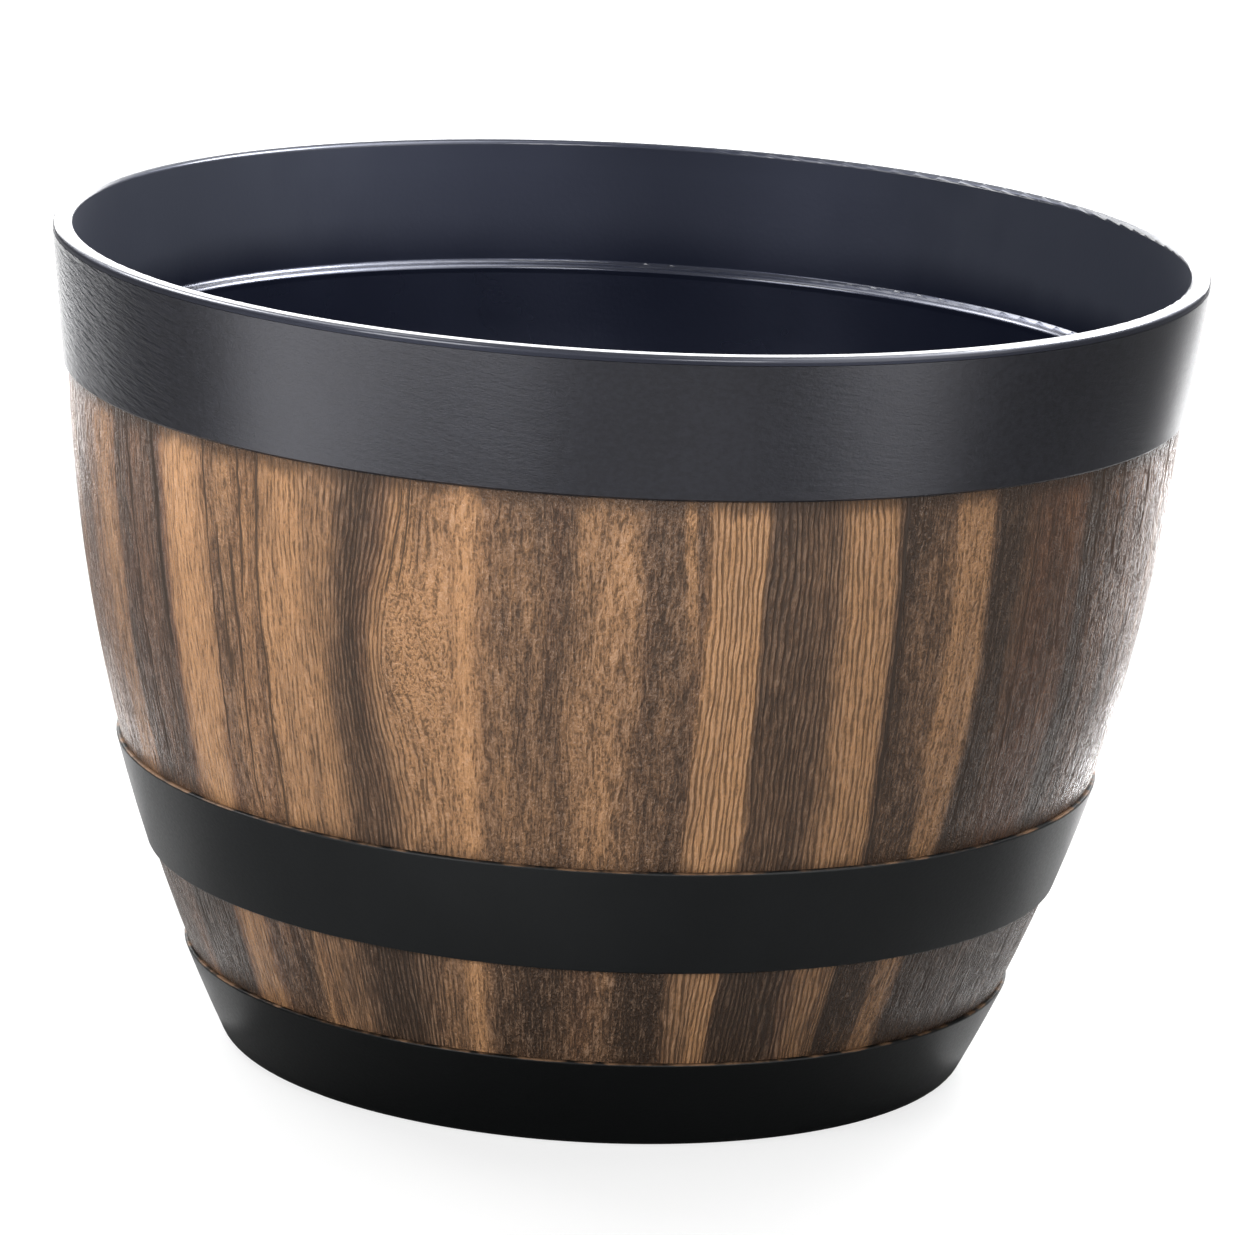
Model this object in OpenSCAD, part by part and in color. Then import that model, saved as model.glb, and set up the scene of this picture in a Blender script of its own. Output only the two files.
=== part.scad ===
// Round barrel-shaped planter: a black moulded pot inside a wood-effect barrel wall with three hoops.
// Origin on the ground at the middle of the base, +Z up, the front faces -Y. Millimetres.
// Every wall is a slice of one bulge: a large circle that is moved sideways by an inset and revolved.

/* [Overall] */
// Diameter across the lip
rim_d = 390; // [360:1:420]
// Height of the lip's top above the ground
height = 280; // [270:1:310]

/* [Barrel wall] */
// Diameter at the ground, where the bulge starts
base_d = 249.8; // [230:0.1:270]
// How far the lip stands out from the wall under the rim hoop
lip_overhang = 6.7; // [4:0.1:10]
// Radius of the bulge, seen from the side
bulge_r = 600; // [450:1:900]
// Thickness of the wood-effect wall
wall_t = 3; // [2.4:0.1:4]
// Thickness of the wall's neck behind the rim hoop
neck_t = 1.4; // [1:0.1:1.8]
// Height of the wall's bottom edge above the ground
wall_foot_z = 3.2; // [3:0.1:6]

/* [Hoops] */
// Depth of each hoop's seat in the wall's face
seat_depth = 0.8; // [0.4:0.1:1.4]
// How far the hoops stand out from the wall
hoop_proud = 1.6; // [0.8:0.1:3]
// Height of the base hoop's top edge above the ground
base_hoop_top = 33; // [24:0.5:50]
// Height of the middle hoop's lower edge above the ground
middle_hoop_z = 68; // [58:0.5:90]
// Width of the middle hoop, from edge to edge
middle_hoop_w = 37; // [20:0.5:60]
// Rounding of the hoops' outer edges
hoop_edge_r = 0.7; // [0.2:0.1:0.9]
// Rounding of the base hoop's corner at the ground
foot_corner_r = 4.5; // [3:0.1:6]
// Clearance of the base hoop above the ground, for water to run out
base_hoop_lift = 0.5; // [0.3:0.1:1.5]
// Thickness of the base hoop's flange under the wall
flange_t = 2.2; // [1.5:0.1:2.4]

/* [Rim] */
// Width of the rim hoop, from its lower edge to the lip
rim_hoop_w = 45; // [30:0.5:60]
// Width of the lip, from its inner to its outer edge
lip_w = 6.7; // [6:0.1:8]
// Thickness of the lip
lip_t = 2.6; // [2.2:0.1:4]
// Rounding of the lip's two top edges
lip_edge_r = 1.7; // [0.8:0.1:2]

/* [Inner pot] */
// Thickness of the pot's wall
pot_t = 3.2; // [2.4:0.1:4]
// Thickness of the pot's neck, just above the stacking shoulder
pot_neck_t = 1.7; // [1.2:0.1:2.4]
// Height of the stacking shoulder above the rim hoop's lower edge
shoulder_rise = 3.2; // [2.5:0.1:6]
// Rounding of the stacking shoulder, inside and out
shoulder_r = 1.5; // [0.8:0.1:1.5]
// Clear height under the floor
floor_rise = 10; // [9:0.5:16]
// Thickness of the floor
floor_t = 3.2; // [2.4:0.1:5]
// Rounding where the wall meets the floor, inside
cove_r = 9; // [5:0.5:20]

/* [Underside] */
// Outer diameter of the foot ring
foot_d = 234; // [200:1:236]
// Thickness of the foot ring
foot_t = 3.4; // [2.5:0.1:8]
// Number of weep notches through the foot ring
weep_count = 8; // [4:1:12]
// Width of each weep notch
weep_w = 14; // [6:1:20]
// Height of each weep notch
weep_h = 3; // [1:0.5:6]
// Number of ribs under the floor
rib_count = 8; // [4:4:16]
// Thickness of each rib
rib_t = 2.4; // [1.5:0.1:4]
// Depth of each rib below the floor
rib_h = 5; // [3:0.5:8]
// Outer diameter of the ring that joins the ribs in the middle
hub_d = 44; // [30:1:60]

/* [Drain holes and plugs] */
// Distance of the drain holes from the axis
drain_pcd_r = 76; // [50:1:90]
// Diameter of each drain hole
drain_d = 12; // [9:0.5:16]
// Outer diameter of the collar under each hole
collar_d = 19; // [18:0.5:26]
// Depth of the collar below the floor
collar_h = 3; // [2:0.5:6]
// Diameter of a plug's head
plug_head_d = 24; // [20:0.5:30]
// Thickness of a plug's head at its edge
plug_head_t = 1.6; // [1.2:0.1:3]
// Height of the dome on a plug's head
plug_dome_h = 1; // [0.5:0.1:2]
// Depth of the recess that takes a plug's head
plug_recess = 1.2; // [0.6:0.1:1.6]
// How far a plug's shank reaches below its collar
plug_reach = 1.5; // [0.5:0.5:3]
// How much narrower a plug's shank is at its tip, in diameter
plug_lead = 1.2; // [0.4:0.1:3]
// Width of a plug's pull tab
tab_w = 10; // [7:0.5:14]
// Thickness of a plug's pull tab
tab_t = 2.4; // [1.6:0.1:4]
// Height of a plug's pull tab above its head
tab_h = 7; // [6:0.5:12]
// Diameter of the finger eye through a pull tab
eye_d = 3.6; // [2:0.1:4]

/* [Fits] */
// Gap between a hoop and the wall it is pushed onto
hoop_gap = 0.15; // [0.05:0.05:0.5]
// Gap between the pot and the wall around it
nest_gap = 0.3; // [0.1:0.05:0.8]
// Gap all round a drain plug, which lifts out
plug_gap = 0.3; // [0.2:0.05:0.6]

/* [Hidden] */
$fn = 180;

// The bulge's circle passes through the wall's foot and its top, under the rim hoop
rim_r = rim_d / 2;
lip_z = height - lip_t;
neck_z = lip_z - rim_hoop_w;
base_r = base_d / 2;
top_r = rim_r - lip_overhang;
chord = norm([top_r - base_r, neck_z]);
chord_drop = sqrt(pow(bulge_r, 2) - pow(chord / 2, 2));
bulge_x = (base_r + top_r) / 2 - chord_drop * neck_z / chord;
bulge_z = neck_z / 2 + chord_drop * (top_r - base_r) / chord;

// Insets from the wall's face, and from the rim hoop's face above the neck
pot_inset = wall_t + nest_gap;
inside_inset = pot_inset + pot_t;
hoop_t = hoop_proud + seat_depth - hoop_gap;
neck_inset = hoop_t + hoop_gap;
pot_neck_inset = neck_inset + neck_t + hoop_gap;
lip_in_r = rim_r - lip_w;

seat_z = neck_z + hoop_gap;
shoulder_z = neck_z + shoulder_rise;
floor_top = floor_rise + floor_t;
rim_top = lip_z - hoop_gap;
wide = rim_d;
join = 0.5;
drain_turn = 45;
rib_turn = drain_turn + 180 / rib_count;
weep_turn = 180 / weep_count;
plug_under = floor_top - plug_recess + plug_gap;

// The pot's inner face above the shoulder: its radius at the bottom and its slope from upright
neck_foot_r = rim_face_r(shoulder_z, pot_neck_inset + pot_neck_t);
neck_draft = atan((lip_in_r - neck_foot_r) / (height - lip_edge_r - shoulder_z));

// Radius of the bulge at height z, moved inwards by inset
function wall_r(z, inset = 0) = bulge_x - inset + sqrt(pow(bulge_r, 2) - pow(z - bulge_z, 2));

// A corner of radius r, centred at height z, that touches the bulge from inside: its centre's radius
function corner_x(z, inset, r) = bulge_x - inset + sqrt(pow(bulge_r - r, 2) - pow(bulge_z - z, 2));

// and the height at which it touches
function touch_z(z, r) = bulge_z - (bulge_z - z) * bulge_r / (bulge_r - r);

// Radius of the rim hoop's straight face at height z, moved inwards by inset
function rim_face_r(z, inset = 0) =
    top_r + hoop_proud - inset + (lip_overhang - hoop_proud) * (z - neck_z) / rim_hoop_w;

// Radius of the pot's inner face at height z, above the stacking shoulder
function neck_in_r(z) = neck_foot_r + (z - shoulder_z) * tan(neck_draft);

// Everything inside the bulge between heights z0 and z1
module bulge_slice(z0, z1, inset = 0) {
    intersection() {
        translate([bulge_x - inset, bulge_z]) circle(r = bulge_r, $fn = 720);
        translate([0, z0]) square([wide, z1 - z0]);
    }
}

// The same with a rounded corner of radius r at its bottom, tangent to the bulge
module cup_slice(z0, z1, inset, r) {
    bulge_slice(touch_z(z0 + r, r), z1, inset);
    translate([0, z0]) square([corner_x(z0 + r, inset, r), touch_z(z0 + r, r) + join - z0]);
    translate([corner_x(z0 + r, inset, r), z0 + r]) circle(r = r);
}

// A slice between two insets from the rim hoop's straight face
module rim_slice(z0, z1, inset_out, inset_in) {
    polygon([
        [rim_face_r(z0, inset_in), z0],
        [rim_face_r(z0, inset_out), z0],
        [rim_face_r(z1, inset_out), z1],
        [rim_face_r(z1, inset_in), z1]
    ]);
}

// A hoop in its seat on the wall, with its lower and upper outer edges rounded by r0 and r1
module hoop_section(z0, z1, r0, r1, back_z) {
    edge_z = z1 - r1;
    edge_x = corner_x(edge_z, -hoop_proud, r1);
    difference() {
        union() {
            cup_slice(z0, touch_z(edge_z, r1), -hoop_proud, r0);
            translate([0, edge_z - r1 - join]) square([edge_x, 2 * r1 + join]);
            translate([edge_x, edge_z]) circle(r = r1, $fn = 48);
        }
        bulge_slice(back_z, z1 + join, hoop_t - hoop_proud);
    }
}

// Copies around the axis, with the first one turned by start
module around(count, start = 0) {
    for (i = [0 : count - 1]) rotate(start + i * 360 / count) children();
}

// ---- Inner pot

module lip_section() {
    translate([lip_in_r, lip_z]) square([lip_w, lip_t - lip_edge_r]);
    translate([lip_in_r + lip_edge_r, lip_z]) square([lip_w - 2 * lip_edge_r, lip_t]);
    intersection() {
        translate([0, lip_z]) square([wide, lip_t]);
        for (x = [lip_in_r + lip_edge_r, rim_r - lip_edge_r]) {
            translate([x, height - lip_edge_r]) circle(r = lip_edge_r, $fn = 48);
        }
    }
}

module neck_section() {
    polygon([
        [neck_in_r(shoulder_z), shoulder_z],
        [rim_face_r(shoulder_z, pot_neck_inset), shoulder_z],
        [rim_face_r(lip_z, pot_neck_inset), lip_z],
        [rim_face_r(lip_z, pot_neck_inset), height - lip_edge_r],
        [lip_in_r, height - lip_edge_r]
    ]);
}

// The ledge inside the pot: a thick ring with a rounded nose, and a cove where the neck rises from it
module shoulder_section() {
    nose_x = wall_r(neck_z, inside_inset) + shoulder_r;
    nose_z = shoulder_z - shoulder_r;
    cove_z = shoulder_z + shoulder_r;
    cove_x = neck_in_r(cove_z) - shoulder_r / cos(neck_draft);
    cove_h = shoulder_r * (1 - sin(neck_draft));
    polygon([
        [nose_x, seat_z],
        [rim_face_r(seat_z, pot_neck_inset), seat_z],
        [rim_face_r(shoulder_z, pot_neck_inset), shoulder_z],
        [nose_x, shoulder_z]
    ]);
    translate([nose_x - shoulder_r, seat_z]) square([shoulder_r, nose_z - seat_z]);
    translate([nose_x, nose_z]) circle(r = shoulder_r, $fn = 48);
    difference() {
        translate([cove_x, shoulder_z - join]) square([shoulder_r + join, cove_h + join]);
        translate([cove_x, cove_z]) circle(r = shoulder_r, $fn = 48);
    }
}

module pot_section() {
    lip_section();
    neck_section();
    shoulder_section();
    difference() {
        cup_slice(floor_rise, neck_z + join, pot_inset, cove_r + pot_t);
        cup_slice(floor_top, neck_z + 2 * join, inside_inset, cove_r);
    }
}

module foot_ring() {
    difference() {
        cylinder(d = foot_d, h = floor_rise + join);
        translate([0, 0, -join]) cylinder(d = foot_d - 2 * foot_t, h = floor_rise + 3 * join);
        around(weep_count, weep_turn) {
            translate([foot_d / 2 - 2 * foot_t, -weep_w / 2, -join]) {
                cube([3 * foot_t, weep_w, weep_h + join]);
            }
        }
    }
}

module underside_ribs() {
    rib_z = floor_rise - rib_h;
    translate([0, 0, rib_z]) {
        difference() {
            union() {
                cylinder(d = hub_d, h = rib_h + join);
                around(rib_count, rib_turn) {
                    translate([hub_d / 2 - rib_t, -rib_t / 2, 0]) {
                        cube([foot_d / 2 - foot_t + join - hub_d / 2 + rib_t, rib_t, rib_h + join]);
                    }
                }
            }
            translate([0, 0, -join]) cylinder(d = hub_d - 2 * rib_t, h = rib_h + 3 * join);
        }
    }
}

module inner_pot() {
    color("#1b1f27") difference() {
        union() {
            rotate_extrude() pot_section();
            foot_ring();
            underside_ribs();
            around(4, drain_turn) translate([drain_pcd_r, 0, floor_rise - collar_h]) {
                cylinder(d = collar_d, h = collar_h + join);
            }
        }
        around(4, drain_turn) translate([drain_pcd_r, 0, 0]) {
            cylinder(d = drain_d, h = floor_top + join);
            translate([0, 0, floor_top - plug_recess]) {
                cylinder(d = plug_head_d + 2 * plug_gap, h = plug_recess + join);
            }
        }
    }
}

// ---- Barrel wall and hoops

module barrel_wall() {
    seat_top = base_hoop_top + hoop_gap;
    color("#8a5e3c") rotate_extrude() {
        rim_slice(neck_z - join, rim_top - hoop_gap, neck_inset, neck_inset + neck_t);
        difference() {
            bulge_slice(wall_foot_z, neck_z);
            bulge_slice(wall_foot_z - join, neck_z + join, wall_t);
            difference() {
                union() {
                    translate([0, wall_foot_z - join]) square([wide, seat_top - wall_foot_z + join]);
                    translate([0, middle_hoop_z - hoop_gap]) square([wide, middle_hoop_w + 2 * hoop_gap]);
                }
                bulge_slice(wall_foot_z - join, neck_z, seat_depth);
            }
        }
    }
}

module rim_hoop() {
    edge = hoop_edge_r;
    color("#3b3c40") rotate_extrude() difference() {
        rim_slice(neck_z, rim_top, 0, hoop_t);
        // chamfer along the lower outer edge
        polygon([
            [rim_face_r(neck_z, edge), neck_z],
            [rim_face_r(neck_z, -join), neck_z - join],
            [rim_face_r(neck_z + edge, -join), neck_z + edge],
            [rim_face_r(neck_z + edge), neck_z + edge]
        ]);
    }
}

module middle_hoop() {
    color("#17191a") rotate_extrude() {
        hoop_section(middle_hoop_z, middle_hoop_z + middle_hoop_w, hoop_edge_r, hoop_edge_r,
            middle_hoop_z - join);
    }
}

// The base hoop turns in under the wall's bottom edge
module base_hoop() {
    color("#141516") rotate_extrude() difference() {
        hoop_section(base_hoop_lift, base_hoop_top, foot_corner_r, hoop_edge_r, base_hoop_lift + flange_t);
        square([foot_d / 2 + nest_gap, base_hoop_top]);
    }
}

// ---- Drain plugs

module plug_at(turn) {
    dome_r = (pow(plug_head_d / 2, 2) + pow(plug_dome_h, 2)) / (2 * plug_dome_h);
    head_top = plug_head_t + plug_dome_h;
    shank_l = plug_under - floor_rise + collar_h + plug_reach;
    color("#26282b") rotate(turn) translate([drain_pcd_r, 0, plug_under]) {
        intersection() {
            cylinder(d = plug_head_d, h = head_top);
            translate([0, 0, head_top - dome_r]) sphere(r = dome_r);
        }
        translate([0, 0, -shank_l]) {
            cylinder(d1 = drain_d - 2 * plug_gap - plug_lead, d2 = drain_d - 2 * plug_gap, h = shank_l);
        }
        rotate([90, 0, 0]) translate([0, 0, -tab_t / 2]) linear_extrude(tab_t) difference() {
            union() {
                translate([-tab_w / 2, plug_head_t / 2]) square([tab_w, head_top + tab_h - tab_w / 2]);
                translate([0, head_top + tab_h - tab_w / 2]) circle(d = tab_w, $fn = 48);
            }
            translate([0, head_top + tab_h - tab_w / 2]) circle(d = eye_d, $fn = 48);
        }
    }
}

module drain_plug_back_right() { plug_at(drain_turn); }
module drain_plug_back_left() { plug_at(drain_turn + 90); }
module drain_plug_front_left() { plug_at(drain_turn + 180); }
module drain_plug_front_right() { plug_at(drain_turn + 270); }

inner_pot();
barrel_wall();
rim_hoop();
middle_hoop();
base_hoop();
drain_plug_back_right();
drain_plug_back_left();
drain_plug_front_left();
drain_plug_front_right();
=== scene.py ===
import math

import bmesh
import bpy
from mathutils import Matrix, Vector


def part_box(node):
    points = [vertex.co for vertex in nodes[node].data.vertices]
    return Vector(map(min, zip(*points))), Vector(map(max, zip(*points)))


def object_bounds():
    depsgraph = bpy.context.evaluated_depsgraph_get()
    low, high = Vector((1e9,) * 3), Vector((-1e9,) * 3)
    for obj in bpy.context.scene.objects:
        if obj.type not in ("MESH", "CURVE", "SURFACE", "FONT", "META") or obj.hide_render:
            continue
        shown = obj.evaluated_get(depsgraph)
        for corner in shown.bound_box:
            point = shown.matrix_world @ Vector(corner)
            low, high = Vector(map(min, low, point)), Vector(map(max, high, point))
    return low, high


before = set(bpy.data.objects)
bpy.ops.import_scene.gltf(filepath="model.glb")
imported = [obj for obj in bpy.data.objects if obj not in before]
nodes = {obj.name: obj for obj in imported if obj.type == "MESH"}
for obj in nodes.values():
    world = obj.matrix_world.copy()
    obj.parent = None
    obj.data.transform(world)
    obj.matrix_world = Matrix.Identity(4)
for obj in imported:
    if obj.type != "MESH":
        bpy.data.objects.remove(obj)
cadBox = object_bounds()
print("frame loaded:", len(nodes), "nodes")

mm = 0.001
wallSpan = 178  # mm, the barrel's middle radius, on which every pattern's size round the wall is measured


class Signal:
    # one output socket, so that shader maths reads as Python
    def __init__(self, finish, socket):
        self.finish = finish
        self.socket = socket

    def math(self, operation, *others):
        inputs = dict(enumerate((self,) + others))
        return self.finish.node("ShaderNodeMath", {"operation": operation}, inputs)

    def clamped(self):
        return self.finish.node("ShaderNodeClamp", {}, {"Value": self})

    def __add__(self, other):
        return self.math("ADD", other)

    def __radd__(self, other):
        return self.math("ADD", other)

    def __sub__(self, other):
        return self.math("SUBTRACT", other)

    def __rsub__(self, other):
        return self.finish.node("ShaderNodeMath", {"operation": "SUBTRACT"}, {0: other, 1: self})

    def __mul__(self, other):
        return self.math("MULTIPLY", other)

    def __truediv__(self, other):
        return self.math("DIVIDE", other)

    def __neg__(self):
        return self.math("MULTIPLY", -1)


class Finish:
    # a material: its nodes, and the patterns that the planter's plastics share
    def __init__(self, name, **constants):
        self.material = bpy.data.materials.new(name)
        self.material.use_nodes = True
        self.tree = self.material.node_tree
        self.shader = self.tree.nodes["Principled BSDF"]
        for socket, value in constants.items():
            self.shader.inputs[socket].default_value = value
        place = self.node("ShaderNodeTexCoord", {}, {}, "Object")
        self.x = self.split(place, "X")
        self.y = self.split(place, "Y")
        self.z = self.split(place, "Z") / mm  # height in mm
        self.radius = (self.x * self.x + self.y * self.y).math("SQRT") / mm
        self.angle = self.x.math("ARCTAN2", -self.y)  # 0 at the front, positive to the right

    def node(self, kind, settings, sockets, out=0):
        made = self.tree.nodes.new(kind)
        for key, value in settings.items():
            if key == "stops":
                self.fillRamp(made.color_ramp, value)
            else:
                setattr(made, key, value)
        for key, value in sockets.items():
            if isinstance(value, Signal):
                self.tree.links.new(value.socket, made.inputs[key])
            else:
                made.inputs[key].default_value = value
        return Signal(self, made.outputs[out])

    def fillRamp(self, ramp, stops):
        while len(ramp.elements) < len(stops):
            ramp.elements.new(1)
        for element, (position, value) in zip(ramp.elements, stops):
            element.position = position
            element.color = (*value, 1) if isinstance(value, tuple) else (value, value, value, 1)

    def split(self, vector, axis):
        return self.node("ShaderNodeSeparateXYZ", {}, {0: vector}, axis)

    def ramp(self, signal, stops):
        return self.node("ShaderNodeValToRGB", {"stops": stops}, {0: signal})

    def rise(self, signal, low, high):
        # 0 below low, 1 above high, smooth between
        settings = {"interpolation_type": "SMOOTHSTEP"}
        return self.node("ShaderNodeMapRange", settings, {0: signal, 1: low, 2: high})

    def within(self, signal, start, full, fade, end):
        # 1 between full and fade, 0 before start and after end
        return self.rise(signal, start, full) * (1 - self.rise(signal, fade, end))

    def mix(self, share, first, second):
        settings = {"data_type": "RGBA"}
        colours = {6: first, 7: second}
        for key, value in colours.items():
            if isinstance(value, tuple):
                colours[key] = (*value, 1)
        return self.node("ShaderNodeMix", settings, {0: share, **colours}, 2)

    def ring(self, angle, stretch):
        # a point on the middle radius, in mm, with its height squeezed by stretch: it has no seam at the back
        sockets = {0: angle.math("SINE") * wallSpan, 1: angle.math("COSINE") * -wallSpan, 2: self.z / stretch}
        return self.node("ShaderNodeCombineXYZ", {}, sockets)

    def spot(self, stretch=1):
        # the place itself, in mm, for what also shows inside the pot
        return self.node("ShaderNodeCombineXYZ", {}, {0: self.x / mm, 1: self.y / mm, 2: self.z / stretch})

    def noise(self, place, size, detail=2.0, roughness=0.5, distortion=0.0):
        sockets = {"Vector": place, "Scale": 1 / size, "Detail": detail, "Roughness": roughness,
                   "Distortion": distortion}
        return self.node("ShaderNodeTexNoise", {}, sockets)

    def feed(self, **signals):
        for socket, signal in signals.items():
            self.tree.links.new(signal.socket, self.shader.inputs[socket.replace("_", " ")])

    def bump(self, height, depth, **normal):
        # height from 0 to 1 stands for depth mm
        sockets = {"Height": height, "Distance": depth * mm, "Strength": 1.0, **normal}
        self.feed(Normal=self.node("ShaderNodeBump", {}, sockets))

    def facing(self, outward, up):
        # the direction with that much away from the planter's axis and that much up
        sockets = {0: self.x / self.radius * outward / mm, 1: self.y / self.radius * outward / mm, 2: up}
        return self.node("ShaderNodeCombineXYZ", {}, sockets)

    def blend(self, share, first, second):
        return self.node("ShaderNodeMix", {"data_type": "VECTOR"}, {0: share, 4: first, 5: second}, 1)


def paint(finish, *names):
    for name in names:
        materials = nodes[name].data.materials
        materials.clear()
        materials.append(finish.material)


# the wood-effect wall

woodEffect = {
    "dark": (0.052, 0.030, 0.019),
    "brown": (0.165, 0.092, 0.053),
    "tan": (0.60, 0.315, 0.145),
    "paleAndHighlight": (0.60, 0.40, 0.275),  # what the dry brush leaves on the ridges, and a painted highlight on them
    "washAndShade": (0.034, 0.022, 0.015),  # what the dark wash leaves in grooves and pits, and a painted shade in them
    "red": (0.150, 0.064, 0.034),
    "linePitch": 0.60,  # degrees between two lines of the straight grain
    "slant": 0.004,  # degrees that the streaks lean for each mm of height
    "knotHeight": 174.0,  # mm, the middle of the eye that the grain bends round
    "knotReach": 38.0,
    "knotPush": 3.4,  # degrees
    "fan": 0.018,  # degrees that the streak at the right leans for each mm of height
    "eyeHeight": 172.0,  # mm, where the knot's speckled eye is, and its half height
    "eyeReach": 24.0,
    "relief": 1.0,  # mm between the deepest groove and the highest ridge
    "gloss": 0.36,
    "fanHeight": 172.0,  # mm, where that leaning streak stands on its own angle
    "topEdge": 232.0,  # mm, where the streaks stand on theirs
    # angles in degrees at which something begins, is full, begins to fade and has gone
    "knotSpan": (-34.0, -24.0, -23.0, -16.0),
    "eyeSpan": (-24.5, -22.5, -17.5, -16.0),
    "fanSpan": (19.0, 26.0, 29.0, 34.0),
    # heights in mm between which something changes
    "shadeBelow": (74.0, 118.0),  # the wall's colour darkens below, a painted shade
    "shadeUnderRim": (226.5, 231.5),  # dark paint and a painted shadow under the rim hoop
    "shadeOverHoop": (104.0, 110.0),  # and a painted shade above the middle hoop
    "hoopSide": (90.0, 100.0),
    "tongueSpan": (150.0, 215.0),  # a pale tongue of paint beside the middle
    "tongueAngle": 6.4,  # degrees
    "tongueTop": 236.0,  # mm
    "tongueLean": 0.018,  # degrees for each mm of height
    "tongueWide": 0.7,  # degrees
    "redSides": (42.0, 50.0),  # degrees from the front, where both sides turn redder
    "redRight": (42.0, 48.0),
}
# tone of each vertical streak, from 0 for dark to 1 for tan, by its angle from the front in degrees
leftStreaks = [
    (-90, 0.30), (-80, 0.45), (-73, 0.30), (-69, 0.46), (-65, 0.62), (-63, 0.52), (-62.2, 0.18), (-60, 0.20),
    (-57.5, 0.34), (-55.2, 0.20), (-54.2, 0.08), (-52.2, 0.62), (-50, 0.84), (-47.4, 0.78), (-45.0, 0.46),
    (-43, 0.52), (-39.2, 0.52), (-37.6, 0.70), (-31.5, 0.66), (-28.2, 0.36), (-25, 0.14), (-21.8, 0.58),
    (-16.6, 0.64), (-15, 0.94), (-13, 0.48), (-9, 0.41), (-4.6, 0.39), (-2.4, 0.60), (0, 0.62),
]
rightStreaks = [
    (0, 0.62), (2.2, 0.54), (3.6, 0.36), (8.0, 0.34), (8.9, 0.72), (14.4, 0.84), (15.2, 0.19), (21.0, 0.29),
    (24, 0.70), (28.4, 0.72), (29.8, 0.06), (32, 0.28), (35.2, 0.42), (36.4, 0.68), (39.8, 0.70),
    (41.4, 0.06), (43.5, 0.02), (45.5, 0.22), (50, 0.26), (54.2, 0.38), (55.4, 0.04), (57.5, 0.06),
    (62, 0.30), (72, 0.36), (80, 0.45), (90, 0.30),
]
# how straight and regular the grain's lines are there
leftLines = [
    (-90, 0.2), (-64, 0.2), (-62, 0.1), (-54, 0.15), (-52, 0.22), (-46, 0.22), (-45, 0.1), (-38.6, 0.1),
    (-38, 0.32), (-30, 0.5), (-24, 0.9), (-20.5, 0.7), (-17.4, 0.5), (-16.6, 0.05), (0, 0.05),
]
rightLines = [
    (0, 0.05), (8.4, 0.1), (8.9, 0.95), (22, 0.9), (29.2, 0.8), (30.2, 0.15), (44, 0.05), (58, 0.3),
    (90, 0.3),
]
# how deep its pits are
leftPits = [
    (-90, 0.9), (-64, 0.7), (-62, 0.5), (-54, 0.4), (-52.5, 0.15), (-46, 0.15), (-45, 0.7), (-38.5, 0.7),
    (-37.5, 0.3), (-22, 0.3), (-20, 0.9), (-14, 0.6), (-12, 1.0), (0, 1.0),
]
rightPits = [
    (0, 1.0), (8, 1.0), (9, 0.3), (29.5, 0.35), (31, 1.2), (42, 1.1), (45, 0.5), (55, 0.6), (60, 1.7),
    (90, 1.5),
]
# where long thin cracks run
leftCracks = [
    (-90, 0.2), (-63, 0.4), (-53.5, 0.4), (-53, 0.1), (-46, 0.1), (-45, 0.5), (-38.2, 0.5), (-37.5, 0.0),
    (0, 0.1),
]
rightCracks = [(0, 0.1), (28.5, 0.1), (29.2, 0.8), (33, 0.4), (42, 0.4), (56, 0.6), (66, 1.0), (90, 0.8)]
# single deep cracks: angle, top and bottom height, half width in degrees
deepCracks = [
    (-59.2, 236, 120, 0.16), (-54.0, 240, 160, 0.26), (-45.3, 236, 130, 0.12), (-43.8, 200, 158, 0.20),
    (-42.2, 196, 112, 0.17), (-40.9, 232, 186, 0.16), (-38.4, 240, 100, 0.22), (-21.0, 226, 196, 0.16),
    (-19.9, 236, 200, 0.14), (29.7, 240, 100, 0.24), (41.9, 215, 120, 0.18), (47.0, 228, 128, 0.10),
    (51.6, 222, 112, 0.09), (57.2, 238, 116, 0.18),
]


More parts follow.
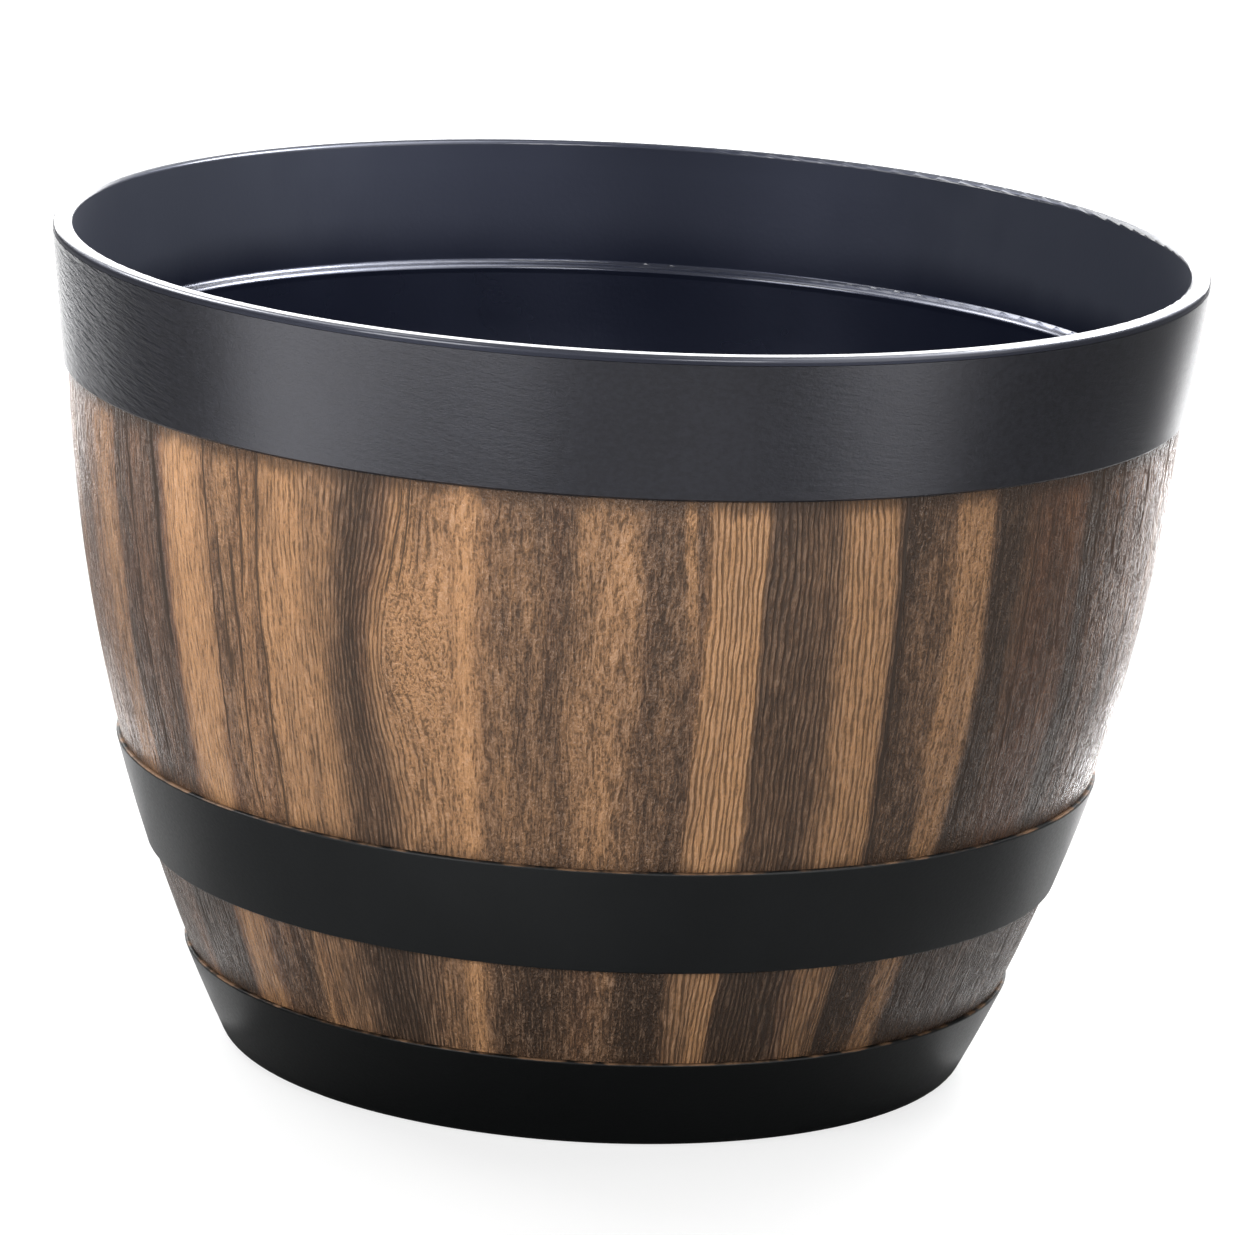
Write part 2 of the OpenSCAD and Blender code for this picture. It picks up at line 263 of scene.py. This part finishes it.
def woodWall():
    wood = woodEffect
    finish = Finish("woodEffect")
    finish.shader.inputs["Specular IOR Level"].default_value = wood["gloss"]
    degrees = finish.angle * math.degrees(1)
    sway = (finish.noise(finish.ring(finish.angle, 5), 26, 1) - 0.5) * 2.6
    sway = sway + (finish.noise(finish.ring(finish.angle, 3), 6, 2) - 0.5) * 0.9
    inKnot = (finish.z - wood["knotHeight"]) / wood["knotReach"]
    beside = finish.within(degrees, *wood["knotSpan"])
    push = (inKnot * inKnot * -1).math("EXPONENT") * beside * wood["knotPush"]
    fan = finish.within(degrees, *wood["fanSpan"]) * (finish.z - wood["fanHeight"]) * wood["fan"]
    # without the knot, which would stretch the pits
    free = degrees + sway - (wood["topEdge"] - finish.z) * wood["slant"]
    across = free + push + fan
    inEye = (finish.z - wood["eyeHeight"]) / wood["eyeReach"]
    eye = (inEye * inEye * -1).math("EXPONENT") * finish.within(free, *wood["eyeSpan"])
    half = (across / 90 + 1).math("WRAP", 2.0, 0.0)  # 0 to 1 on the left, 1 to 2 on the right
    onRight = half.math("GREATER_THAN", 1.0)

    def layout(left, right):
        leftTone = finish.ramp(half, [((angle + 90) / 90, tone) for angle, tone in left])
        rightTone = finish.ramp(half - 1, [(angle / 90, tone) for angle, tone in right])
        return leftTone * (1 - onRight) + rightTone * onRight

    tone = layout(leftStreaks, rightStreaks)
    lines = layout(leftLines, rightLines)
    pitted = layout(leftPits, rightPits)
    cracks = layout(leftCracks, rightCracks)
    lines = lines * (1 - eye * 0.9)

    # the relief: regular lines, hairs, pits and granules, all following the bent grain
    turned = across * math.radians(1)
    long = finish.ring(turned, 9)
    jitter = finish.noise(finish.ring(turned, 30), 6, 2)
    wave = (across * (2 * math.pi / wood["linePitch"]) + jitter * 3.4).math("SINE") * 0.5
    strength = finish.rise(finish.noise(long, 1.6, 2), 0.25, 0.60) * 0.6 + 0.4
    grooves = (0.5 - wave).math("POWER", 2.6)  # narrow between broad ridges
    ridges = (0.26 - grooves) * strength * lines
    hairs = finish.noise(long, 0.75, 3, 0.62)
    pits = finish.noise(finish.ring(free * math.radians(1), 3.2), 1.2, 3, 0.6)
    grains = finish.noise(finish.ring(finish.angle, 1.6), 0.8, 2, 0.6)
    crackLine = (finish.noise(finish.ring(turned, 26), 4.6, 2, 0.4) - 0.5).math("ABSOLUTE")
    broken = finish.rise(finish.noise(long, 5, 2), 0.38, 0.52)
    crack = (1 - finish.rise(crackLine, 0.0, 0.022)) * cracks * broken
    for angle, top, bottom, reach in deepCracks:
        wander = (jitter - 0.5) * 1.2 + (hairs - 0.5) * 0.25
        there = 1 - finish.rise((across - angle + wander).math("ABSOLUTE"), reach * 0.4, reach)
        tall = finish.within(finish.z, bottom - 6, bottom, top, top + 6)
        crack = crack.math("MAXIMUM", there * tall)
    relief = 0.52 + ridges * 0.85 + (hairs - 0.5) * (1.4 - eye) + (pits - 0.5) * pitted * (1.3 - eye * 0.9)
    relief = (relief + (grains - 0.5) * (pitted + 0.4 + eye * 1.3) - crack * 0.8).clamped()

    # the paint: streaks, then the dark wash with a painted shade in the low places and the dry brush with a
    # painted highlight on the high ones
    cloud = finish.noise(finish.ring(turned, 4), 12, 4, 0.6)
    patch = finish.noise(finish.ring(turned, 9), 6, 3, 0.6)
    redness = finish.rise(finish.noise(finish.ring(turned, 12), 16, 1), 0.5, 0.75) * 0.4
    redness = redness + finish.rise(degrees.math("ABSOLUTE"), *wood["redSides"]) * 0.55
    redness = redness + finish.rise(degrees, *wood["redRight"]) * 0.25
    # low darkens the wall's colour towards the bottom: a painted shade
    low = 1 - finish.rise(finish.z, *wood["shadeBelow"])
    leaning = (wood["tongueTop"] - finish.z) * wood["tongueLean"]
    tongue = ((across - wood["tongueAngle"] - leaning) / wood["tongueWide"]).math("ABSOLUTE")
    tongue = (1 - finish.rise(tongue, 0.4, 1.4)) * finish.rise(finish.z, *wood["tongueSpan"])
    shade = tone + (cloud + patch - 1) * (0.38 + pitted * 0.15)
    shade = shade + (hairs - 0.5) * 0.35 + tongue * 0.4 + eye * 0.16
    shade = shade + low * (shade * 0.3 - 0.38)
    brown = finish.mix(redness, wood["brown"], wood["red"])
    colour = finish.mix(finish.rise(shade, 0.0, 0.48), wood["dark"], brown)
    colour = finish.mix(finish.rise(shade, 0.30, 0.95), colour, wood["tan"])
    # dark wash and painted shade in the grooves and pits; the same mask also roughens them
    dirtAndShade = 1 - finish.rise(relief, 0.12, 0.62)
    colour = finish.mix((dirtAndShade * 0.64).math("MAXIMUM", crack * 0.85), colour, wood["washAndShade"])
    # dry brush and a painted highlight on the ridges
    brushed = finish.rise(relief, 0.45, 0.95) * (0.12 + tone * 0.26)
    colour = finish.mix(brushed, colour, wood["paleAndHighlight"])
    ragged = (patch - 0.5) * 10 + (hairs - 0.5) * 14
    # dark paint and a painted shadow along the wall just under the rim hoop, with a ragged edge
    underRimShade = finish.rise(finish.z + ragged, *wood["shadeUnderRim"]) * 0.75
    # a painted shade along the wall just above the middle hoop
    overHoopShade = 1 - finish.rise(finish.z + (cloud - 0.5) * 12, *wood["shadeOverHoop"])
    overHoopShade = overHoopShade * finish.rise(finish.z, *wood["hoopSide"]) * 0.5
    colour = finish.mix((underRimShade + overHoopShade).clamped(), colour, wood["dark"])
    finish.feed(Base_Color=colour, Roughness=0.21 + dirtAndShade * 0.38)
    lumps = finish.noise(finish.ring(turned, 4.5), 2.4, 2)
    finish.bump(relief * 0.7 + lumps * 0.9, wood["relief"])
    return finish


# the black and charcoal plastics

rimColour = (0.0090, 0.0094, 0.0125)


def rimPlastic():
    finish = Finish("rimCharcoal")
    finish.shader.inputs["Specular Tint"].default_value = (0.92, 0.92, 1.0, 1)
    wrinkles = finish.noise(finish.ring(finish.angle + finish.z / 60, 0.3), 7, 3, 0.6)
    mottle = finish.noise(finish.ring(finish.angle, 0.8), 2.0, 3, 0.6)
    fine = finish.noise(finish.ring(finish.angle, 0.6), 0.8, 2, 0.6)
    cloud = finish.noise(finish.ring(finish.angle, 1), 40, 3)
    # the left end is wrinkled, the rest is only grained
    degrees = finish.angle * math.degrees(1)
    left = finish.within(degrees, -150, -105, -60, -42)
    shade = finish.rise(mottle * 0.7 + cloud * 0.3, 0.35, 0.65)
    darker = tuple(c * 0.7 for c in rimColour)
    lighter = tuple(c * 1.5 for c in rimColour)
    finish.feed(Base_Color=finish.mix(shade, darker, lighter), Roughness=0.27 + mottle * 0.10)
    finish.bump(wrinkles * (0.25 + left * 2.2) + fine * 0.20 + mottle * 0.15, 0.25)
    return finish


def hoopPlastic(name, top, colour):
    # top is the height of the hoop's upper edge, where some of the wall's tan paint has caught
    finish = Finish(name)
    around = finish.ring(finish.angle, 0.5)
    brushed = finish.noise(around, 1.8, 4, 0.6)
    cloud = finish.noise(finish.ring(finish.angle, 1), 30, 3)
    finish.shader.inputs["Specular IOR Level"].default_value = 0.22
    patchy = finish.noise(finish.ring(finish.angle, 1), 9, 3)
    caught = finish.rise(finish.z + (patchy - 0.5) * 0.6, top - 0.45, top - 0.15)
    caught = caught * finish.rise(patchy, 0.42, 0.66) * 0.7
    black = finish.mix(cloud, colour, tuple(c * 1.6 for c in colour))
    finish.feed(Base_Color=finish.mix(caught, black, (0.26, 0.15, 0.085)),
                Roughness=0.36 + brushed * 0.16)
    finish.bump(brushed, 0.06)
    return finish


def potPlastic():
    finish = Finish("potBlack")
    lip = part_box("inner_pot")[1]
    lipRound = 1.7  # mm, of the lip's two upper edges
    lipWidth = 6.7
    ledge = {"low": 234.0, "high": 237.0, "inner": 185.1}  # mm
    finish.shader.inputs["Specular Tint"].default_value = (0.66, 0.72, 1.0, 1)
    finish.shader.inputs["Coat Roughness"].default_value = 0.16
    cloud = finish.noise(finish.spot(), 40, 4)
    orange = finish.noise(finish.spot(), 1.6, 2)
    streaky = finish.noise(finish.spot(4), 12, 3)
    # the neck above the ledge is lighter than the pot below it, most of all at the two sides: scuffs and
    # dust, and a painted sheen
    degrees = finish.angle.math("ABSOLUTE") * math.degrees(1)
    sheenSides = finish.within(degrees, 75, 100, 125, 165)
    neck = finish.rise(finish.z, ledge["high"] - 2, ledge["high"] + 18)
    dustAndSheen = neck * (0.25 + sheenSides) * (0.4 + cloud * 0.6 + streaky * 0.5)
    inside = finish.mix(cloud, (0.0020, 0.0027, 0.0064), (0.0034, 0.0044, 0.0096))
    # dust and a painted sheen lighten the neck's colour
    inside = finish.mix(dustAndSheen, inside, (0.018, 0.020, 0.027))
    # the lip's outer side has the rim band's charcoal
    outer = finish.rise(finish.radius, lip.x / mm - 2.6, lip.x / mm - 2.0) * finish.rise(finish.z, 240, 245)
    onLedge = finish.rise(finish.z, ledge["low"] - 0.1, ledge["low"] + 0.6)
    onLedge = onLedge * (1 - finish.rise(finish.z, ledge["high"] - 0.3, ledge["high"] + 0.4))
    onLedge = onLedge * (1 - finish.rise(finish.radius, ledge["inner"], ledge["inner"] + 0.3))
    onLip = finish.z.math("GREATER_THAN", lip.z / mm - lipRound + 0.02)
    finish.feed(Base_Color=finish.mix(outer, inside, rimColour),
                Roughness=0.24 + neck * 0.12 + cloud * 0.08 + outer * 0.06,
                Coat_Weight=onLedge.math("MAXIMUM", onLip * 0.65))
    # the rounded lip's exact direction, and a ledge worn rounder than it was moulded
    normal = finish.node("ShaderNodeNewGeometry", {}, {}, "Normal")
    normal = finish.blend(onLedge * 0.55, normal, finish.facing(-0.84, 0.55))
    limits = {"Value": finish.radius, "Min": lip.x / mm - lipWidth + lipRound, "Max": lip.x / mm - lipRound}
    beyond = finish.radius - finish.node("ShaderNodeClamp", {}, limits)
    above = finish.z - (lip.z / mm - lipRound)
    normal = finish.blend(onLip, normal, finish.facing(beyond, above))
    normal = finish.node("ShaderNodeVectorMath", {"operation": "NORMALIZE"}, {0: normal})
    finish.bump(orange * (1 - finish.rise(finish.z, 268, 273)), 0.03, Normal=normal)
    return finish


def plugRubber():
    finish = Finish("plugRubber")
    dust = finish.noise(finish.spot(), 1.2, 4)
    finish.feed(Base_Color=finish.mix(dust, (0.018, 0.018, 0.020), (0.035, 0.035, 0.036)),
                Roughness=0.6 + dust * 0.2)
    finish.bump(dust, 0.05)
    return finish


paint(woodWall(), "barrel_wall")
paint(rimPlastic(), "rim_hoop")
# both hoops are the same plastic; the base hoop's darker colour is a painted shade near the floor
hoopColoursWithBaseShade = {"middle_hoop": (0.0070, 0.0078, 0.0084), "base_hoop": (0.0016, 0.0020, 0.0022)}
for name, colour in hoopColoursWithBaseShade.items():
    paint(hoopPlastic(name + "Black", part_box(name)[1].z / mm, colour), name)
paint(potPlastic(), "inner_pot")
paint(plugRubber(), *[name for name in nodes if name.startswith("drain_plug")])
print("finishes made")

# the floor, the room, the lamps and the camera

studio = {
    "floorHalf": 6.0,
    "floorColour": (0.15, 0.15, 0.15),
    # what the floor gives the camera beyond its own shade, near the planter and far off
    "floorGlow": (0.78, 1.0),
    "worldLight": 0.0,
    "wallLight": 1.0,
    # how bright the room's walls are in reflections, by their angle from the front in degrees
    "walls": [(-180, 0.0), (-60, 0.0), (-20, 0.5), (15, 0.1), (55, 3.2), (95, 0.0), (180, 0.0)],
}


def makeFloor():
    shape = bmesh.new()
    bmesh.ops.create_grid(shape, x_segments=1, y_segments=1, size=studio["floorHalf"])
    mesh = bpy.data.meshes.new("studioFloor")
    shape.to_mesh(mesh)
    shape.free()
    floor = bpy.data.objects.new("studioFloor", mesh)
    bpy.context.scene.collection.objects.link(floor)
    finish = Finish("floorPaper", Roughness=0.7)
    grain = finish.noise(finish.spot(), 4, 2)
    shade = tuple(c * 0.985 for c in studio["floorColour"])
    finish.feed(Base_Color=finish.mix(grain, studio["floorColour"], shade))
    finish.shader.inputs["Emission Color"].default_value = (1, 1, 1, 1)
    seen = finish.node("ShaderNodeLightPath", {}, {}, "Is Camera Ray")
    distance = (finish.x * finish.x + finish.y * finish.y).math("SQRT")
    near, far = ((level,) * 3 for level in studio["floorGlow"])
    colour = finish.mix(finish.rise(distance, 0.5, 2.0), near, far)
    glow = finish.node("ShaderNodeEmission", {}, {"Color": colour})
    lit = Signal(finish, finish.shader.outputs[0])
    both = finish.node("ShaderNodeAddShader", {}, {0: lit, 1: glow})
    shown = finish.node("ShaderNodeMixShader", {}, {0: seen, 1: lit, 2: both})
    output = finish.tree.nodes["Material Output"]
    finish.tree.links.new(shown.socket, output.inputs["Surface"])
    floor.data.materials.append(finish.material)


def makeWorld():
    world = bpy.data.worlds.new("studioWorld")
    world.use_nodes = True
    tree = world.node_tree

    def link(source, target):
        tree.links.new(source, target)

    direction = tree.nodes.new("ShaderNodeTexCoord")
    axes = tree.nodes.new("ShaderNodeSeparateXYZ")
    link(direction.outputs["Generated"], axes.inputs[0])
    flip = tree.nodes.new("ShaderNodeMath")
    flip.operation = "MULTIPLY"
    flip.inputs[1].default_value = -1
    link(axes.outputs["Y"], flip.inputs[0])
    angle = tree.nodes.new("ShaderNodeMath")
    angle.operation = "ARCTAN2"
    link(axes.outputs["X"], angle.inputs[0])
    link(flip.outputs[0], angle.inputs[1])
    share = tree.nodes.new("ShaderNodeMapRange")
    share.inputs["From Min"].default_value = -math.pi
    share.inputs["From Max"].default_value = math.pi
    link(angle.outputs[0], share.inputs["Value"])
    ramp = tree.nodes.new("ShaderNodeValToRGB")
    stops = [((turn + 180) / 360, level) for turn, level in studio["walls"]]
    while len(ramp.color_ramp.elements) < len(stops):
        ramp.color_ramp.elements.new(1)
    for element, (position, level) in zip(ramp.color_ramp.elements, stops):
        element.position = position
        element.color = (level, level, level, 1)
    link(share.outputs[0], ramp.inputs[0])

    grounds = {"soft": studio["worldLight"], "walls": studio["wallLight"], "white": 1}
    for name, strength in grounds.items():
        grounds[name] = tree.nodes.new("ShaderNodeBackground")
        grounds[name].inputs["Color"].default_value = (1, 1, 1, 1)
        grounds[name].inputs["Strength"].default_value = strength
    link(ramp.outputs["Color"], grounds["walls"].inputs["Color"])
    path = tree.nodes.new("ShaderNodeLightPath")
    shown = grounds["soft"].outputs[0]
    rays = {"Is Glossy Ray": "walls", "Is Transmission Ray": "white", "Is Camera Ray": "white"}
    for ray, ground in rays.items():
        mixed = tree.nodes.new("ShaderNodeMixShader")
        link(path.outputs[ray], mixed.inputs[0])
        link(shown, mixed.inputs[1])
        link(grounds[ground].outputs[0], mixed.inputs[2])
        shown = mixed.outputs[0]
    link(shown, tree.nodes["World Output"].inputs["Surface"])
    bpy.context.scene.world = world


def makeLamp(name, place, target, size, power):
    lamp = bpy.data.lights.new(name, "AREA")
    lamp.shape = "RECTANGLE"
    lamp.size, lamp.size_y = size
    lamp.energy = power
    holder = bpy.data.objects.new(name, lamp)
    holder.location = place
    holder.rotation_euler = (Vector(target) - Vector(place)).to_track_quat("-Z", "Y").to_euler()
    holder.visible_camera = False
    bpy.context.scene.collection.objects.link(holder)


def makeCard(name, x, y, size, power):
    # a lamp that lies just above the floor and points up
    height = 0.003
    makeLamp(name, (x, y, height), (x, y, 1), size, power)


def makeCamera():
    view = {
        "place": (0.0016, -2.4669, 0.7398),
        "lookDown": 13.472,  # degrees
        "roll": 3.014,
        "lens": 216.77,
    }
    data = bpy.data.cameras.new("photoCamera")
    data.lens = view["lens"]
    data.sensor_width = 36
    camera = bpy.data.objects.new("photoCamera", data)
    turn = Matrix.Rotation(math.radians(90 - view["lookDown"]), 4, "X")
    tilt = Matrix.Rotation(math.radians(view["roll"]), 4, "Z")
    camera.matrix_world = Matrix.Translation(view["place"]) @ turn @ tilt
    bpy.context.scene.collection.objects.link(camera)
    bpy.context.scene.camera = camera


makeFloor()
makeWorld()
middle = (cadBox[0] + cadBox[1]) / 2
# several powers here, and the walls' brightness above, come from a program's fit to the photo's brightness
# and are rounded; the others were set one by one
makeLamp("leftTopLamp", (-0.95, 0.1, 1.9), (-0.95, 0.1, 0), (0.9, 1.2), 14)
makeLamp("rightTopLamp", (0.95, 0.1, 1.9), (0.95, 0.1, 0), (0.9, 1.2), 17)
makeLamp("leftHighLamp", (-1.25, 0.65, 1.4), middle, (0.7, 0.7), 17)
makeLamp("leftFrontLamp", (-1.5, -1.7, 1.3), middle, (1.0, 1.0), 38)
makeLamp("rightFrontLamp", (0.75, -2.3, 1.2), middle, (0.8, 0.8), 20)
makeLamp("backLamp", (0.0, 2.3, 0.75), middle, (2.6, 1.0), 42)
makeLamp("backHighLamp", (0.0, 1.5, 1.5), middle, (1.8, 1.0), 6)
makeLamp("rightNearLamp", (0.36, 0.22, 0.62), (-0.15, 0.1, 0.24), (0.30, 0.22), 6.3)
makeLamp("rightSideLamp", (0.45, 0.05, 0.65), (-0.15, 0.1, 0.24), (0.55, 0.22), 1.7)
makeLamp("leftNearLamp", (-0.45, 0.15, 0.65), (0.15, 0.1, 0.24), (0.40, 0.22), 2.6)
makeCard("leftCard", -0.85, -0.45, (0.8, 0.5), 4.6)
makeCard("leftFrontCard", -0.5, -0.95, (0.6, 0.5), 4.5)
makeCard("rightCard", 0.74, -0.66, (0.5, 0.5), 3.1)
makeCard("backCard", 0.0, 1.9, (1.3, 2.4), 34)
makeCard("rightBackCard", 0.40, 0.64, (0.35, 0.5), 1.4)
makeCard("rightNearCard", 0.24, 0.34, (0.12, 0.26), 0.5)
makeCard("rightUnderCard", 0.30, 0.20, (0.16, 0.30), 0.17)
makeCard("leftUnderCard", -0.30, 0.15, (0.16, 0.30), 0.11)
makeCard("leftEdgeCard", -0.70, 0.55, (0.30, 0.30), 0.5)
makeCard("leftToeCard", -0.155, -0.015, (0.05, 0.07), 0.008)
makeCard("rightToeCard", 0.155, -0.015, (0.05, 0.07), 0.008)
makeCard("leftFootCard", -0.18, 0.06, (0.08, 0.14), 0.014)
makeCard("rightFootCard", 0.17, 0.08, (0.08, 0.14), 0.022)
makeCard("rightEdgeCard", 0.37, 0.60, (0.14, 0.20), 0.8)
makeCard("frontCard", 0.11, -0.70, (0.40, 0.30), 0.42)
makeCard("frontNearCard", -0.12, -0.26, (0.26, 0.10), 0.03)
makeCard("leftNearCard", -0.24, 0.30, (0.12, 0.26), 0.18)
makeCamera()
bpy.context.scene.view_settings.view_transform = "Standard"
print("studio set")
